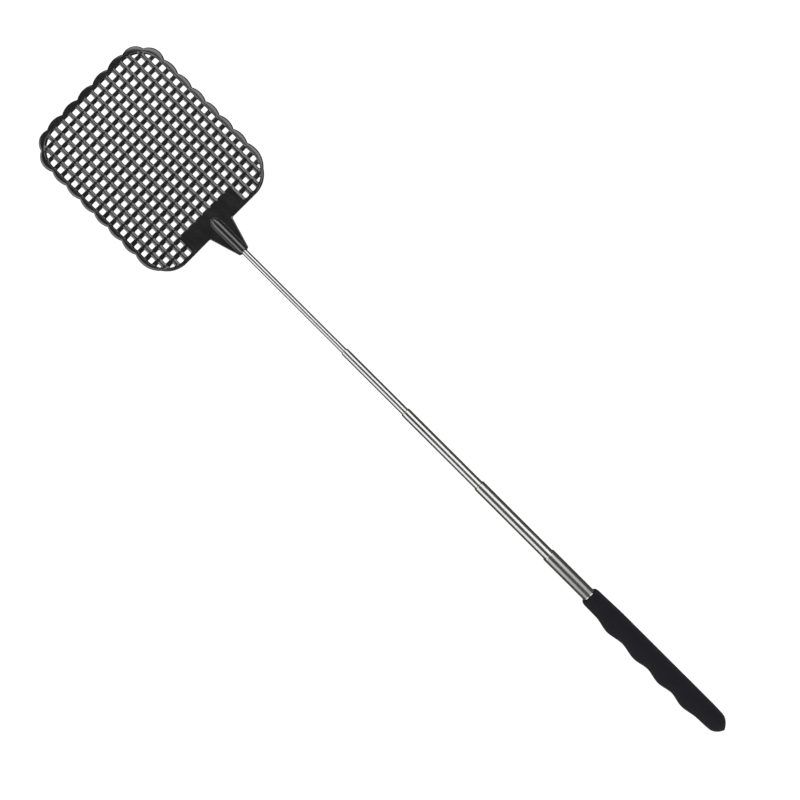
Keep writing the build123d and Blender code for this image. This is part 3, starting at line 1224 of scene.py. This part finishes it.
FLOOR_SHADES = (0.11, 0.13)
FLOOR_GLOW = 0.96

# Radius and height in metres of the floor's rings.
FLOOR_SWEEP = ((5.0, 0.0), (6.5, 0.35), (7.5, 1.3), (8.0, 4.0))
FLOOR_SIDES = 24

# Stations of the strip lights' ends, and (station, brightness) along them.
STRIP_ENDS = (-2600, 2600)
STRIP_FADE = ((-900, 1.0), (-500, 0.15), (-260, 0.15), (250, 1.0))
AMBIENT = 0.12

# The camera looks straight down, and its turn puts the rod on the picture's diagonal.
CAMERA_LENS = 38.3
CAMERA_CENTRE = (2.95 * MM, 5.9 * MM)
CAMERA_HEIGHT = 0.527
CAMERA_TURN = math.radians(-45.0745)


def make_floor():
    """Flat floor that sweeps up far away on every side, like a studio's."""
    nodes = Nodes("white_floor")
    cloud = nodes.noise(3, detail=2)
    shader = nodes.shader
    nodes.link(nodes.ramp(cloud, *FLOOR_SHADES), shader.inputs["Base Color"])
    shader.inputs["Roughness"].default_value = 0.9
    shader.inputs["Emission Color"].default_value = (1.0, 1.0, 1.0, 1.0)
    shader.inputs["Emission Strength"].default_value = FLOOR_GLOW
    points = []
    for radius, height in FLOOR_SWEEP:
        for step in range(FLOOR_SIDES):
            turn = math.tau * step / FLOOR_SIDES
            points.append((radius * math.cos(turn), radius * math.sin(turn), height))
    faces = [tuple(range(FLOOR_SIDES))] + ring_faces(len(FLOOR_SWEEP), FLOOR_SIDES, False)
    mesh = bpy.data.meshes.new("floor")
    mesh.from_pydata(points, [], faces)
    floor = bpy.data.objects.new("floor", mesh)
    bpy.context.scene.collection.objects.link(floor)
    mesh.materials.append(nodes.material)
    floor.visible_glossy = False


def make_world():
    world = bpy.data.worlds.new("studio")
    bpy.context.scene.world = world
    world.use_nodes = True
    background = world.node_tree.nodes["Background"]
    background.inputs["Color"].default_value = (AMBIENT, AMBIENT, AMBIENT, 1.0)


def strip_light(name, angle, distance, spread, radiance):
    """Long soft light along the rod, at an angle from straight above it, dimmer by the grip."""
    near, far = STRIP_ENDS
    light = bpy.data.lights.new(name, "AREA")
    light.shape = "RECTANGLE"
    light.size = 2 * distance * math.tan(math.radians(spread))
    light.size_y = (far - near) * MM
    light.energy = math.pi * radiance * light.size * light.size_y
    light.use_nodes = True
    tree = light.node_tree
    place_on = tree.nodes.new("ShaderNodeNewGeometry")
    split = tree.nodes.new("ShaderNodeSeparateXYZ")
    fade = tree.nodes.new("ShaderNodeValToRGB")
    fade.color_ramp.interpolation = "EASE"
    while len(fade.color_ramp.elements) < len(STRIP_FADE):
        fade.color_ramp.elements.new(0.5)
    for element, (station, share) in zip(fade.color_ramp.elements, STRIP_FADE):
        element.position = (station - near) / (far - near)
        element.color = (share, share, share, 1.0)
    tree.links.new(place_on.outputs["Parametric"], split.inputs[0])
    tree.links.new(split.outputs["Y"], fade.inputs["Fac"])
    tree.links.new(fade.outputs["Color"], tree.nodes["Emission"].inputs["Strength"])
    lamp = bpy.data.objects.new(name, light)
    bpy.context.scene.collection.objects.link(lamp)
    turn = math.radians(angle)
    middle = place(0, (near + far) / 2, 0)
    lamp.location = middle + Vector((math.sin(turn), 0, math.cos(turn))) * distance
    lamp.rotation_euler = (0, turn, 0)
    lamp.visible_camera = False


def make_camera():
    camera = bpy.data.cameras.new("camera")
    camera.sensor_width = 36.0
    camera.lens = CAMERA_LENS
    view = bpy.data.objects.new("camera", camera)
    bpy.context.scene.collection.objects.link(view)
    view.location = Vector((*CAMERA_CENTRE, AXIS_HEIGHT + CAMERA_HEIGHT))
    view.rotation_euler = (0, 0, CAMERA_TURN)
    bpy.context.scene.camera = view


make_floor()
make_world()
strip_light("left_strip", angle=-60, distance=0.8, spread=23, radiance=2.4)
strip_light("right_strip", angle=37.5, distance=0.8, spread=21, radiance=2.8)
make_camera()
bpy.context.scene.view_settings.view_transform = "Standard"
